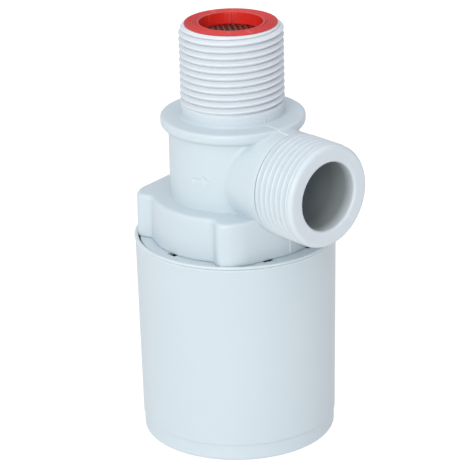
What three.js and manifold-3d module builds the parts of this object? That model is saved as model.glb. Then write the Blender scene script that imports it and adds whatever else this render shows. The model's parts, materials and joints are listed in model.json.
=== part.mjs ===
// Pilot-operated float valve for a water tank. Millimetres, +Z up, outlet along +X.
// The origin is on the main axis, at the underside of the float, with the float raised (valve shut).
import * as THREE from 'three';
import { mergeVertices } from 'three/addons/utils/BufferGeometryUtils.js';
import Module from 'manifold-3d';

const wasm = await Module();
wasm.setup();

// ---------- driving dimensions ----------

const GAP = 0.1; // between pieces that are held against each other
const TURNED = 36; // facets round the large outer pieces
const INNER = 24; // facets round the threads, the bores and the pieces inside
const SMALL = 14; // facets round pins and screws

const G34 = { crest: 13.22, root: 12.06, pitch: 1.77 }; // both pipe threads, nominal G 3/4

const BODY = {
  skirtBottom: 53.55,
  skirtTop: 64.8,
  skirtRadius: 21.55,
  lugRadius: 24.95,
  tubeRadius: 16.4,
  flangeRadius: 18.39,
  flangeBottom: 82.8,
  flangeTop: 85.7,
  neckRadius: 13.08,
  threadStart: 89,
  top: 108.8,
  boreRadius: 9,
};

const SEAT = { inner: 8, outer: 9.8, lip: 66.5, chamberRadius: 14, chamberTop: 82 };
const COVER_SOCKET = { radius: 18.7, top: 61 };
const OUTLET = { axisHeight: 72, threadStart: 20.8, threadEnd: 33.1, end: 34.7, boreStart: 10.2, boreRadius: 8.8 };

const COVER = {
  outer: 18.5,
  lowerOuter: 17.6,
  cylinder: 15.2,
  bottom: 48.3,
  floorTop: 50.3,
  threadBottom: 54,
  top: COVER_SOCKET.top - 0.9,
};

const PISTON = { radius: 14.8, bottom: 54, top: 60, bossRadius: 11.5, web: 58, discSeat: 64.4 };

const LEVER = {
  pivotX: -6,
  pivotHeight: 42.4,
  arm: 15,
  restAngle: THREE.MathUtils.degToRad(11.46),
  halfWidth: 2,
  pinRadius: 1,
  pinHole: 1.1,
};
const DRIVE_PIN = {
  x: LEVER.pivotX + LEVER.arm * Math.cos(LEVER.restAngle),
  height: LEVER.pivotHeight + LEVER.arm * Math.sin(LEVER.restAngle),
};
const NOZZLE_TIP = 46.3;

const FLOAT = {
  rimTop: 53.6,
  rimRadius: 25.98,
  footRadius: 25.14,
  footHeight: 4.5,
  wall: 1,
  lidTop: 53.3,
  lidThickness: 2,
  lidRadius: 24.45,
  wellRadius: 20.4,
  wellFloor: 36,
  notchAngles: [17, 91, 159.5, 197, 271, 339.5],
};

const YOKE = { screwX: 15, plateTop: 37.9, top: 47.3 };
const STRAINER = { top: 109.4, outer: 11.74, inner: 8.05, meshBottom: 106.4, meshTop: 106.7 };

// ---------- materials ----------

function plastic(color, roughness) {
  return new THREE.MeshStandardMaterial({ color, roughness, metalness: 0 });
}

function metal(color, roughness) {
  return new THREE.MeshStandardMaterial({ color, roughness, metalness: 1 });
}

const whitePlastic = plastic(0xe6ecf2, 0.38);
const redPlastic = plastic(0xc8322c, 0.5);
const greyPlastic = plastic(0xb9c0c6, 0.45);
const blackRubber = plastic(0x1c1c1e, 0.8);
const steel = metal(0xc4c6c8, 0.3);
const brass = metal(0xc9a24f, 0.35);

// ---------- solids ----------

// A closed three.js geometry as a manifold solid; triangles that collapse on the axis are left out.
function solid(geometry) {
  geometry.deleteAttribute('normal');
  geometry.deleteAttribute('uv');
  const merged = mergeVertices(geometry, 1e-4);
  const index = merged.index.array;
  const triVerts = [];
  for (let i = 0; i < index.length; i += 3) {
    const [a, b, c] = [index[i], index[i + 1], index[i + 2]];
    if (a !== b && b !== c && c !== a) triVerts.push(a, b, c);
  }
  return new wasm.Manifold(new wasm.Mesh({
    numProp: 3,
    vertProperties: new Float32Array(merged.attributes.position.array),
    triVerts: new Uint32Array(triVerts),
  }));
}

// Replaces each corner [x, y, fillet] of a closed outline by an arc; no fillet leaves it sharp.
function roundCorners(corners, steps = 1) {
  const points = [];
  corners.forEach(([x, y, fillet = 0], i) => {
    const corner = new THREE.Vector2(x, y);
    if (fillet === 0) {
      points.push(corner);
      return;
    }
    const before = new THREE.Vector2(...corners.at(i - 1).slice(0, 2)).sub(corner).normalize();
    const after = new THREE.Vector2(...corners[(i + 1) % corners.length].slice(0, 2)).sub(corner).normalize();
    const half = Math.acos(before.dot(after)) / 2;
    const reach = fillet / Math.tan(half);
    const start = corner.clone().addScaledVector(before, reach);
    const centre = corner.clone().addScaledVector(before.clone().add(after).normalize(), fillet / Math.sin(half));
    const turn = Math.sign(after.cross(before)) * (Math.PI - 2 * half);
    for (let k = 0; k <= steps; k++) points.push(start.clone().rotateAround(centre, (turn * k) / steps));
  });
  return points;
}

// A solid turned about Z from [radius, height, fillet] corners, listed anticlockwise.
function turned(corners, segments = TURNED, steps = 1) {
  const outline = roundCorners(corners, steps);
  outline.push(outline[0].clone());
  return solid(new THREE.LatheGeometry(outline, segments).rotateX(Math.PI / 2));
}

// A plain rod or drill along Z.
function rod(radius, bottom, top, segments = SMALL) {
  return turned([[0, bottom], [radius, bottom], [radius, top], [0, top]], segments);
}

// The same about the Y axis, at a given x and height.
function acrossAxis(shape, x, height) {
  return shape.rotate([-90, 0, 0]).translate([x, 0, height]);
}

function block(xs, ys, zs) {
  const box = new THREE.BoxGeometry(xs[1] - xs[0], ys[1] - ys[0], zs[1] - zs[0]);
  return solid(box.translate((xs[0] + xs[1]) / 2, (ys[0] + ys[1]) / 2, (zs[0] + zs[1]) / 2));
}

// A flat outline in X and height, thickened along Y from one side to the other.
function sidePlate(points, from, to) {
  const shape = new THREE.Shape(points.map(([x, z]) => new THREE.Vector2(x, z)));
  const geometry = new THREE.ExtrudeGeometry(shape, { depth: to - from, bevelEnabled: false });
  return solid(geometry.rotateX(Math.PI / 2).translate(0, to, 0));
}

function arc(x, y, radius, fromDegrees, toDegrees, steps) {
  const points = [];
  for (let k = 0; k <= steps; k++) {
    const angle = THREE.MathUtils.degToRad(fromDegrees + ((toDegrees - fromDegrees) * k) / steps);
    points.push([x + radius * Math.cos(angle), y + radius * Math.sin(angle)]);
  }
  return points;
}

// A solid rod with a right-hand thread. Crest and root lines alternate and climb one pitch per turn,
// so the end of each turn meets the line two rows up. The ends are trimmed by the caller.
function threadedRod({ crest, root, pitch }, bottom, top) {
  const rows = 2 * Math.ceil((top - bottom) / pitch) + 7;
  const start = bottom - 1.5 * pitch;
  const positions = [];
  for (let row = 0; row < rows; row++) {
    for (let step = 0; step < INNER; step++) {
      const angle = (2 * Math.PI * step) / INNER;
      const radius = row % 2 === 0 ? crest : root;
      const height = start + pitch * (row / 2 + step / INNER);
      positions.push(radius * Math.cos(angle), radius * Math.sin(angle), height);
    }
  }
  const at = (step, row) => (step === INNER ? (row + 2) * INNER : row * INNER + step);
  const index = [];
  for (let step = 0; step < INNER; step++) {
    const lastRow = step === INNER - 1 ? rows - 3 : rows - 1;
    for (let row = 0; row < lastRow; row++) {
      const [a, b, c, d] = [at(step, row), at(step + 1, row), at(step + 1, row + 1), at(step, row + 1)];
      index.push(a, b, c, a, c, d);
    }
  }
  const lastStep = INNER - 1;
  const bottomLoop = [...Array.from({ length: INNER }, (_, step) => at(step, 0)), at(0, 2), at(0, 1)];
  const topLoop = [
    ...Array.from({ length: INNER }, (_, step) => at(step, rows - 1)),
    at(lastStep, rows - 2),
    at(lastStep, rows - 3),
  ];
  const bottomCentre = rows * INNER;
  positions.push(0, 0, start, 0, 0, start + (pitch * rows) / 2);
  bottomLoop.forEach((a, i) => index.push(bottomLoop[(i + 1) % bottomLoop.length], a, bottomCentre));
  topLoop.forEach((a, i) => index.push(a, topLoop[(i + 1) % topLoop.length], bottomCentre + 1));
  const geometry = new THREE.BufferGeometry();
  geometry.setAttribute('position', new THREE.Float32BufferAttribute(positions, 3));
  geometry.setIndex(index);
  return solid(geometry);
}

// A pipe thread between two heights, with a lead-in chamfer at its outer end.
function pipeThread(bottom, top, chamfer) {
  const clear = G34.crest + 0.2;
  const core = G34.root - 0.1;
  const envelope = [[0, bottom], [clear, bottom], [clear, top - chamfer], [core, top], [0, top]];
  return threadedRod(G34, bottom, top).intersect(turned(envelope, INNER));
}

// ---------- valve body ----------

// Outline of the skirt: round, with four lugs that each have one steep side and one long ramp.
function skirtOutline() {
  const quarter = [
    ...arc(0, 0, BODY.skirtRadius, 0, 17.8, 2),
    ...arc(0, 0, BODY.lugRadius, 42.5, 51.5, 2),
    ...arc(0, 0, BODY.skirtRadius, 57, 90, 4),
  ];
  const back = quarter.slice(1, -1).reverse();
  return [
    ...quarter,
    ...back.map(([x, y]) => [-x, y]),
    ...quarter.slice(0, -1).map(([x, y]) => [-x, -y]),
    [0, -BODY.skirtRadius],
    ...back.map(([x, y]) => [x, -y]),
  ];
}

function skirt() {
  const edge = 0.7;
  const shape = new THREE.Shape(skirtOutline().map(([x, y]) => new THREE.Vector2(x, y)));
  const geometry = new THREE.ExtrudeGeometry(shape, {
    depth: BODY.skirtTop - BODY.skirtBottom - 2 * edge,
    bevelThickness: edge,
    bevelSize: edge,
    bevelOffset: -edge,
    bevelSegments: 1,
  });
  return solid(geometry.translate(0, 0, BODY.skirtBottom + edge));
}

function tubeFlangeAndNeck() {
  const inside = BODY.skirtTop - 3;
  return turned([
    [0, inside],
    [BODY.tubeRadius, inside],
    [BODY.tubeRadius, BODY.flangeBottom],
    [BODY.flangeRadius, BODY.flangeBottom, 0.7],
    [BODY.flangeRadius, BODY.flangeTop, 0.7],
    [BODY.neckRadius, BODY.flangeTop, 0.6],
    [BODY.neckRadius, BODY.threadStart],
    [0, BODY.threadStart],
  ]);
}

function outletBranch() {
  const { threadStart, threadEnd, end } = OUTLET;
  const spigot = turned([
    [0, 0],
    [BODY.neckRadius, 0],
    [BODY.neckRadius, threadStart, 0.5],
    [G34.root, threadStart],
    [G34.root, threadEnd],
    [12.85, threadEnd + 0.3],
    [12.85, end, 0.8],
    [0, end],
  ], INNER);
  const branch = spigot.add(pipeThread(threadStart - 0.5, threadEnd, 0.9));
  return branch.rotate([0, 90, 0]).translate([0, 0, OUTLET.axisHeight]);
}

// The water space: cover socket, outlet chamber round the seat tube, and the inlet bore.
function waterSpace() {
  const below = BODY.skirtBottom - 1;
  return turned([
    [0, below],
    [COVER_SOCKET.radius, below],
    [COVER_SOCKET.radius, COVER_SOCKET.top],
    [SEAT.chamberRadius, COVER_SOCKET.top],
    [SEAT.chamberRadius, SEAT.chamberTop],
    [SEAT.outer, SEAT.chamberTop],
    [SEAT.outer, SEAT.lip, 0.5],
    [SEAT.inner, SEAT.lip],
    [SEAT.inner, BODY.flangeTop],
    [BODY.boreRadius, BODY.flangeTop + 1.5],
    [BODY.boreRadius, BODY.top + 1],
    [0, BODY.top + 1],
  ], INNER);
}

function valveBody() {
  const outletBore = rod(OUTLET.boreRadius, OUTLET.boreStart, OUTLET.end + 1, INNER)
    .rotate([0, 90, 0])
    .translate([0, 0, OUTLET.axisHeight]);
  return skirt()
    .add(tubeFlangeAndNeck())
    .add(pipeThread(BODY.threadStart - 0.5, BODY.top, 1.3))
    .add(outletBranch())
    .subtract(waterSpace())
    .subtract(outletBore);
}

// ---------- inlet strainer ----------

// Sealing ring on the inlet's end face, with a sleeve that holds the mesh disc in an inner groove.
function strainerWasher() {
  const { top, outer, inner, meshBottom, meshTop } = STRAINER;
  const flangeBottom = BODY.top + 0.15;
  const sleeve = BODY.boreRadius - 0.2;
  const lip = 7.5;
  return turned([
    [lip, meshBottom - 1],
    [sleeve, meshBottom - 1],
    [sleeve, flangeBottom],
    [outer, flangeBottom],
    [outer, top, 0.2],
    [inner, top, 0.2],
    [inner, meshTop + GAP],
    [inner + 0.4, meshTop + GAP],
    [inner + 0.4, meshBottom - GAP],
    [lip, meshBottom - GAP],
  ], INNER);
}

function strainerMesh() {
  const { inner, meshBottom, meshTop } = STRAINER;
  const outer = inner + 0.25;
  const wire = 0.15;
  const pitch = 3;
  const rim = 0.6;
  const heights = [meshBottom, meshTop];
  let mesh = rod(outer, ...heights, INNER).subtract(rod(outer - rim, meshBottom - 1, meshTop + 1, INNER));
  for (let place = -2 * pitch; place < 2.5 * pitch; place += pitch) {
    const reach = Math.sqrt((outer - rim / 2) ** 2 - place ** 2);
    const across = [place - wire, place + wire];
    mesh = mesh.add(block(across, [-reach, reach], heights)).add(block([-reach, reach], across, heights));
  }
  return mesh;
}

// ---------- pilot cover ----------

// Cup that screws into the skirt from below: cylinder for the piston, ears for the lever.
function pilotCover() {
  let cover = turned([
    [0, COVER.bottom],
    [COVER.lowerOuter, COVER.bottom, 0.8],
    [COVER.lowerOuter, COVER.threadBottom],
    [COVER.outer, COVER.threadBottom],
    [COVER.outer, COVER.top, 0.3],
    [COVER.cylinder, COVER.top],
    [COVER.cylinder, COVER.floorTop],
    [0, COVER.floorTop],
  ], INNER);
  const spannerSlot = [[12.5, 19], [-2, 2], [COVER.bottom - 1, COVER.bottom + 1.4]];
  for (const turn of [45, 135, 225, 315]) {
    cover = cover.subtract(block(...spannerSlot).rotate([0, 0, turn]));
  }
  const { pivotX, pivotHeight, pinHole } = LEVER;
  const tip = 2.6;
  const root = COVER.bottom + 0.5;
  const ear = [
    [pivotX - tip, root],
    ...arc(pivotX, pivotHeight, tip, 180, 360, 8),
    [pivotX + tip, root],
  ];
  return cover
    .add(sidePlate(ear, 2.3, 3.9))
    .add(sidePlate(ear, -3.9, -2.3))
    .subtract(acrossAxis(rod(pinHole, -5, 5), pivotX, pivotHeight))
    .subtract(rod(2.05, COVER.bottom - 1, COVER.floorTop + 1));
}

function coverGasket() {
  const [bottom, top] = [COVER.top + GAP, COVER_SOCKET.top - GAP];
  return turned([[15.4, bottom], [18.4, bottom], [18.4, top], [15.4, top]], INNER);
}

function pilotNozzle() {
  const hexagonTop = COVER.bottom - GAP;
  const body = turned([
    [0, NOZZLE_TIP],
    [1.2, NOZZLE_TIP, 0.2],
    [2, NOZZLE_TIP + 0.9],
    [2, hexagonTop - 0.1],
    [1.9, hexagonTop - 0.1],
    [1.9, COVER.floorTop - 0.2],
    [0, COVER.floorTop - 0.2],
  ], SMALL);
  return body
    .add(rod(2.9, NOZZLE_TIP + 0.9, hexagonTop, 6))
    .subtract(rod(0.6, NOZZLE_TIP - 1, COVER.floorTop + 1, 12));
}

// ---------- main piston ----------

function piston() {
  const { radius, bottom, top, bossRadius, web, discSeat } = PISTON;
  return turned([
    [11, bottom],
    [radius, bottom, 0.4],
    [radius, bottom + 2],
    [13.2, bottom + 2],
    [13.2, bottom + 4.2],
    [radius, bottom + 4.2],
    [radius, top, 0.4],
    [bossRadius, top],
    [bossRadius, discSeat + 1.2, 0.3],
    [10.75, discSeat + 1.2],
    [10.75, discSeat],
    [2.2, discSeat],
    [2.2, web],
    [11, web],
  ], INNER);
}

function pistonSeal() {
  const bottom = PISTON.bottom + 2.15;
  const top = PISTON.bottom + 4.05;
  return turned([[13.35, bottom], [15.05, bottom, 0.5], [15.05, top, 0.5], [13.35, top]], INNER);
}

function seatDisc() {
  const [bottom, top] = [PISTON.discSeat + GAP, SEAT.lip - GAP];
  return turned([[2.2, bottom], [10.6, bottom], [10.6, top, 0.3], [2.2, top]], INNER);
}

// Flanged plug that clamps the seat disc; the fine hole through it feeds the space under the piston.
function bleedPlug() {
  return turned([
    [0.5, PISTON.web + 0.3],
    [2, PISTON.web + 0.3, 0.3],
    [2, SEAT.lip],
    [5, SEAT.lip],
    [5, SEAT.lip + 1.1, 0.4],
    [0.5, SEAT.lip + 1.1],
  ], SMALL);
}

class Helix extends THREE.Curve {
  constructor(radius, turns, bottom, top) {
    super();
    Object.assign(this, { radius, turns, bottom, top });
  }

  getPoint(t) {
    const angle = 2 * Math.PI * this.turns * t;
    const height = this.bottom + (this.top - this.bottom) * t;
    return new THREE.Vector3(this.radius * Math.cos(angle), this.radius * Math.sin(angle), height);
  }
}

function pistonSpring() {
  const wire = 0.5;
  const turns = 3.5;
  const section = new THREE.Shape(arc(0, 0, wire, 0, 300, 5).map(([x, y]) => new THREE.Vector2(x, y)));
  const path = new Helix(8, turns, COVER.floorTop + wire + GAP, PISTON.web - wire - GAP);
  return solid(new THREE.ExtrudeGeometry(section, { extrudePath: path, steps: turns * 14 }));
}

// ---------- pilot lever ----------

function pilotLever() {
  const { pivotX, pivotHeight, halfWidth, pinRadius, pinHole, restAngle } = LEVER;
  const slope = THREE.MathUtils.radToDeg(restAngle);
  const bar = [
    ...arc(pivotX, pivotHeight, 2.4, slope + 60, slope + 300, 8),
    ...arc(DRIVE_PIN.x, DRIVE_PIN.height, 2.1, slope - 140, slope + 140, 8),
  ];
  const padTop = NOZZLE_TIP - GAP;
  const pocketFloor = padTop - 1 - GAP;
  return sidePlate(bar, -halfWidth, halfWidth)
    .add(rod(2.8, pivotHeight + 0.4, pocketFloor + 0.6))
    .subtract(rod(1.95, pocketFloor, padTop))
    .subtract(acrossAxis(rod(pinRadius + 0.05, -5, 5), pivotX, pivotHeight))
    .subtract(acrossAxis(rod(pinHole, -5, 5), DRIVE_PIN.x, DRIVE_PIN.height));
}

function pilotPad() {
  return rod(1.8, NOZZLE_TIP - GAP - 1, NOZZLE_TIP - GAP);
}

// Headed pin with a groove for its clip.
function leverPin() {
  const { pinRadius, pivotX, pivotHeight } = LEVER;
  const pin = turned([
    [0, -4.9],
    [1.7, -4.9, 0.2],
    [1.7, -4],
    [pinRadius, -4],
    [pinRadius, 4.05],
    [0.7, 4.05],
    [0.7, 4.7],
    [pinRadius, 4.7],
    [pinRadius, 5.2, 0.2],
    [0, 5.2],
  ], SMALL);
  return acrossAxis(pin, pivotX, pivotHeight);
}

// Open C clip in the lever pin's groove.
function leverPinClip() {
  const { pivotX, pivotHeight } = LEVER;
  const outline = [
    ...arc(pivotX, pivotHeight, 2, 130, 410, 12),
    ...arc(pivotX, pivotHeight, 0.85, 410, 130, 8),
  ];
  return sidePlate(outline, 4.2, 4.6);
}

function drivePin() {
  return acrossAxis(rod(LEVER.pinRadius, -4.9, 4.9), DRIVE_PIN.x, DRIVE_PIN.height);
}

// ---------- float ----------

function floatShell() {
  const { rimTop, rimRadius, footRadius, footHeight, wall, lidTop, lidThickness } = FLOAT;
  const ledgeTop = lidTop - lidThickness - GAP;
  const ledgeRadius = 24;
  return turned([
    [footRadius - wall, footHeight],
    [footRadius, footHeight, 0.25],
    [rimRadius, rimTop, 0.45],
    [rimRadius - wall, rimTop, 0.45],
    [rimRadius - wall, ledgeTop],
    [ledgeRadius, ledgeTop],
    [ledgeRadius, ledgeTop - 1],
    [24.7, ledgeTop - 2],
  ], TURNED, 2);
}

// Bottom cap, with a spigot inside the shell.
function floatBase() {
  const shoulder = FLOAT.footHeight - GAP;
  const capRadius = 24.88;
  const spigotRadius = 23.9;
  return turned([
    [0, 0],
    [capRadius, 0, 0.8],
    [capRadius, shoulder, 0.2],
    [spigotRadius, shoulder],
    [spigotRadius, 9, 0.5],
    [22.6, 9],
    [22.6, 2.2],
    [0, 2.2],
  ], TURNED, 2);
}

// Top plate with a deep well for the lever, and shallow drain notches round the well's mouth.
function floatLid() {
  const { lidTop, lidThickness, lidRadius, wellRadius, wellFloor, notchAngles } = FLOAT;
  const wallOuter = wellRadius + 1.5;
  let lid = turned([
    [0, wellFloor - 1.6],
    [wallOuter, wellFloor - 1.6, 1],
    [wallOuter, lidTop - lidThickness],
    [lidRadius, lidTop - lidThickness],
    [lidRadius, lidTop, 0.8],
    [wellRadius, lidTop, 0.3],
    [wellRadius, wellFloor],
    [0, wellFloor],
  ]);
  const notch = block([wellRadius - 1, wellRadius + 2], [-1.4, 1.4], [lidTop - 1.5, lidTop + 1]);
  for (const angle of notchAngles) lid = lid.subtract(notch.rotate([0, 0, angle]));
  const screwBoss = rod(3.2, 29, wellFloor - 1).translate([YOKE.screwX, 0, 0]);
  const screwHole = rod(1.35, 30.5, wellFloor + 1).translate([YOKE.screwX, 0, 0]);
  return lid.add(screwBoss).subtract(screwHole);
}

// Bracket on the well's floor; the drive pin slides in the slots of its two cheeks.
function floatYoke() {
  const foot = FLOAT.wellFloor + GAP;
  const { screwX, plateTop, top } = YOKE;
  const slotHalf = LEVER.pinRadius + 0.15;
  const [slotStart, slotEnd] = [DRIVE_PIN.x - 0.35, DRIVE_PIN.x + 0.65];
  const slot = [
    ...arc(slotStart, DRIVE_PIN.height, slotHalf, 90, 270, 8),
    ...arc(slotEnd, DRIVE_PIN.height, slotHalf, -90, 90, 8),
  ];
  const cheek = [
    [5.6, foot],
    [12.2, foot],
    [12.2, top - 1.5],
    [10.7, top],
    [6.9, top],
    [5.6, top - 1.3],
  ];
  return block([5.6, screwX + 3.4], [-4.2, 4.2], [foot, plateTop])
    .add(sidePlate(cheek, 2.6, 4.2))
    .add(sidePlate(cheek, -4.2, -2.6))
    .subtract(sidePlate(slot, -5, 5))
    .subtract(rod(1.5, foot - 1, plateTop + 1).translate([screwX, 0, 0]));
}

// Pan-head screw with a cross recess.
function yokeScrew() {
  const under = YOKE.plateTop + GAP;
  const head = under + 1.7;
  const screw = turned([[0, 31.5], [1.2, 32.5], [1.2, under], [2.6, under], [2.6, head, 0.6], [0, head]], SMALL);
  return screw
    .subtract(block([-1.4, 1.4], [-0.3, 0.3], [head - 0.9, head + 1]))
    .subtract(block([-0.3, 0.3], [-1.4, 1.4], [head - 0.9, head + 1]))
    .translate([YOKE.screwX, 0, 0]);
}

// ---------- assembly ----------

function piece(name, shape, material) {
  const { vertProperties, triVerts } = shape.getMesh();
  const geometry = new THREE.BufferGeometry();
  geometry.setAttribute('position', new THREE.BufferAttribute(vertProperties, 3));
  geometry.setIndex(new THREE.BufferAttribute(triVerts, 1));
  geometry.computeVertexNormals();
  const mesh = new THREE.Mesh(geometry, material);
  mesh.name = name;
  return mesh;
}

const fixedPieces = new THREE.Group();
fixedPieces.add(
  piece('valve_body', valveBody(), whitePlastic),
  piece('strainer_washer', strainerWasher(), redPlastic),
  piece('strainer_mesh', strainerMesh(), steel),
  piece('pilot_cover', pilotCover(), greyPlastic),
  piece('cover_gasket', coverGasket(), blackRubber),
  piece('pilot_nozzle', pilotNozzle(), brass),
  piece('piston_spring', pistonSpring(), steel),
  piece('lever_pin', leverPin(), steel),
  piece('lever_pin_clip', leverPinClip(), steel),
);

const pistonPieces = new THREE.Group();
pistonPieces.add(
  piece('piston', piston(), greyPlastic),
  piece('piston_seal', pistonSeal(), blackRubber),
  piece('seat_disc', seatDisc(), blackRubber),
  piece('bleed_plug', bleedPlug(), brass),
);

const leverPieces = new THREE.Group();
leverPieces.add(
  piece('pilot_lever', pilotLever(), greyPlastic),
  piece('pilot_pad', pilotPad(), blackRubber),
  piece('drive_pin', drivePin(), steel),
);

const floatPieces = new THREE.Group();
floatPieces.add(
  piece('float_shell', floatShell(), whitePlastic),
  piece('float_base', floatBase(), whitePlastic),
  piece('float_lid', floatLid(), whitePlastic),
  piece('float_yoke', floatYoke(), greyPlastic),
  piece('yoke_screw', yokeScrew(), steel),
);

const floatValve = new THREE.Group();
floatValve.add(fixedPieces, pistonPieces, leverPieces, floatPieces);

export default floatValve;
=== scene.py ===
import json
import math

import bmesh
import bpy
import numpy as np
from mathutils import Matrix, Vector


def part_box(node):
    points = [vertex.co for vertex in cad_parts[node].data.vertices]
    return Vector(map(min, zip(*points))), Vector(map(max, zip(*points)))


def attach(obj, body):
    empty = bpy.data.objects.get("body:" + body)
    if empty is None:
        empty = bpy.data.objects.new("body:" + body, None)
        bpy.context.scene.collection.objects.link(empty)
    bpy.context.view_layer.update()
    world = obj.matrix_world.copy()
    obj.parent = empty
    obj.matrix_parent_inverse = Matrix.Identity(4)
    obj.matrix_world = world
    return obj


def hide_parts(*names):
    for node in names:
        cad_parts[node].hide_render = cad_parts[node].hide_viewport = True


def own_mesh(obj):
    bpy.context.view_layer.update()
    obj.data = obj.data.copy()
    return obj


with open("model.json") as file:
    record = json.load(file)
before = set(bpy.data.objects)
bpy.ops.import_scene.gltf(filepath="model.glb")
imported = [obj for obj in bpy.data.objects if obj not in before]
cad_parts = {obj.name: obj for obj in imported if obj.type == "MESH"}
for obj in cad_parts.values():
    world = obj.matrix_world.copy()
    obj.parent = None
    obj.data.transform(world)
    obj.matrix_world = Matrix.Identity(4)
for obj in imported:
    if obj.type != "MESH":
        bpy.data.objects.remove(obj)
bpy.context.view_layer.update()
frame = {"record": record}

# ---------- sizes, in millimetres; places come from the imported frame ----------

MM = 0.001


def box_mm(node):
    low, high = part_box(node)
    return np.array(low) / MM, np.array(high) / MM


BODY_LOW, BODY_HIGH = box_mm("valve_body")
WASHER_LOW, WASHER_HIGH = box_mm("strainer_washer")
CLOTH_LOW, CLOTH_HIGH = box_mm("strainer_mesh")
COVER_HIGH = box_mm("pilot_cover")[1]
SHELL_LOW, SHELL_HIGH = box_mm("float_shell")
BASE_HIGH = box_mm("float_base")[1]
LID_LOW, LID_HIGH = box_mm("float_lid")

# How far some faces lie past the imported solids' own.
INLET_RISE = 0.45
WASHER_RISE = 0.3
RIM_RISE = 0.25
SKIRT_DROP = 0.17
CLOTH_DROP = 0.3

SKIRT_RADIUS = -BODY_LOW[0]
SKIRT_BOTTOM = BODY_LOW[2] - SKIRT_DROP
SKIRT_TOP = BODY_LOW[2] + 11.25
LUG_RADIUS = SKIRT_RADIUS + 3.4
RAMP_ANGLE = math.radians(10.5)
TUBE_RADIUS = 16.4
FLANGE_RADIUS = 18.39
FLANGE_BOTTOM = SKIRT_TOP + 18
FLANGE_TOP = FLANGE_BOTTOM + 2.9
NECK_RADIUS = 13.08
INLET_END = BODY_HIGH[2] + INLET_RISE
INLET_THREAD = FLANGE_TOP + 3.3
OUTLET_AXIS = SKIRT_TOP + 7.2
OUTLET_END = BODY_HIGH[0]
OUTLET_THREAD = OUTLET_END - 12.9
OUTLET_COLLAR = OUTLET_END - 1.3
BORE_RADIUS = 9
OUTLET_BORE = 8.8
SEAT_LIP = SKIRT_TOP + 1.7
CHAMBER_RADIUS = 14
SOCKET_RADIUS = 18.7
SOCKET_TOP = BODY_LOW[2] + 7.45

# A point (x, y) on a lug's steep end, and the direction that this end faces.
LUG_END = (11.8, 18.16)
LUG_END_FACING = (-0.419, 0.908)

PARTING_Y = -1.0
LINE_HALF_WIDTH = 0.1
THREAD_ROOT = 12.06

# Thread forms: crest radius, root radius, pitch, and the plain radius that the thread runs out to.
PIPE_THREAD = (13.22, THREAD_ROOT, 1.77, NECK_RADIUS - 0.02)
COVER_THREAD = (COVER_HIGH[0], COVER_HIGH[0] - 0.65, 1.5, COVER_HIGH[0] - 0.92)
SCREW_THREAD = (1.2, 0.95, 0.6, 1.0)

JOINTS = {joint["name"]: joint for joint in frame["record"]["behaviour"]["joints"]}
PIVOT = np.array(JOINTS["lever_swing"]["pos_m"]) / MM
DRIVE = sum(box_mm("drive_pin")) / 2
COVER_BOTTOM = COVER_HIGH[2] - 11.8
COVER_FLOOR = COVER_HIGH[2] - 9.8
NOZZLE_TIP = box_mm("pilot_nozzle")[0][2]
SCREW_X = sum(box_mm("yoke_screw"))[0] / 2


# ---------- mesh tools ----------

def unit(vector):
    return vector / np.linalg.norm(vector)


def new_piece(name, points, faces):
    mesh = bpy.data.meshes.new(name)
    mesh.from_pydata((np.asarray(points, float) * MM).tolist(), [], faces)
    mesh.update()
    piece = bpy.data.objects.new(name, mesh)
    bpy.context.scene.collection.objects.link(piece)
    return piece


def round_corners(corners, steps):
    """A closed outline, with each (x, y, fillet) corner replaced by an arc."""
    points = []
    for i, (x, y, *fillet) in enumerate(corners):
        here = np.array([x, y], float)
        if not fillet:
            points.append(here)
            continue
        before = unit(np.array(corners[i - 1][:2]) - here)
        after = unit(np.array(corners[(i + 1) % len(corners)][:2]) - here)
        half = math.acos(before @ after) / 2
        start = here + before * fillet[0] / math.tan(half)
        centre = here + unit(before + after) * fillet[0] / math.sin(half)
        turn = math.copysign(math.pi - 2 * half, after[0] * before[1] - after[1] * before[0])
        for k in range(steps + 1):
            c, s = math.cos(turn * k / steps), math.sin(turn * k / steps)
            arm = start - centre
            points.append(centre + np.array([c * arm[0] - s * arm[1], s * arm[0] + c * arm[1]]))
    return points


def turned(name, corners, segments=160, steps=6):
    """A closed solid turned about Z from (radius, height, fillet) corners, listed anticlockwise."""
    points, rings = [], []
    angles = 2 * np.pi * np.arange(segments) / segments
    for radius, height in round_corners(corners, steps):
        first = len(points)
        if radius < 1e-6:
            points.append((0, 0, height))
            rings.append([first] * segments)
        else:
            points.extend((radius * math.cos(a), radius * math.sin(a), height) for a in angles)
            rings.append(list(range(first, first + segments)))
    faces = []
    for lower, upper in zip(rings, rings[1:] + rings[:1]):
        for a in range(segments):
            b = (a + 1) % segments
            face = tuple(dict.fromkeys((lower[a], lower[b], upper[b], upper[a])))
            if len(face) > 2:
                faces.append(face)
    return new_piece(name, points, faces)


def rod(name, radius, bottom, top, segments=32, edge=0.0):
    corner = (edge,) if edge else ()
    corners = [(0, bottom), (radius, bottom, *corner), (radius, top, *corner), (0, top)]
    return turned(name, corners, segments, 3)


def plate(name, outline, low, high, edge=0.0):
    """A flat (x, z) outline, thickened along Y, with its rims rounded by edge."""
    count = len(outline)
    points = [(x, low, z) for x, z in outline] + [(x, high, z) for x, z in outline]
    faces = [tuple(range(count)), tuple(range(2 * count - 1, count - 1, -1))]
    faces += [(i, i + count, (i + 1) % count + count, (i + 1) % count) for i in range(count)]
    piece = new_piece(name, points, faces)
    shape = bmesh.new()
    shape.from_mesh(piece.data)
    bmesh.ops.recalc_face_normals(shape, faces=shape.faces)
    if edge:
        rims = [e for e in shape.edges if abs(e.verts[0].co.y - e.verts[1].co.y) < 1e-7]
        bmesh.ops.bevel(shape, geom=rims, offset=edge * MM, segments=3, affect="EDGES", profile=0.5)
    shape.to_mesh(piece.data)
    shape.free()
    return piece


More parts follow.
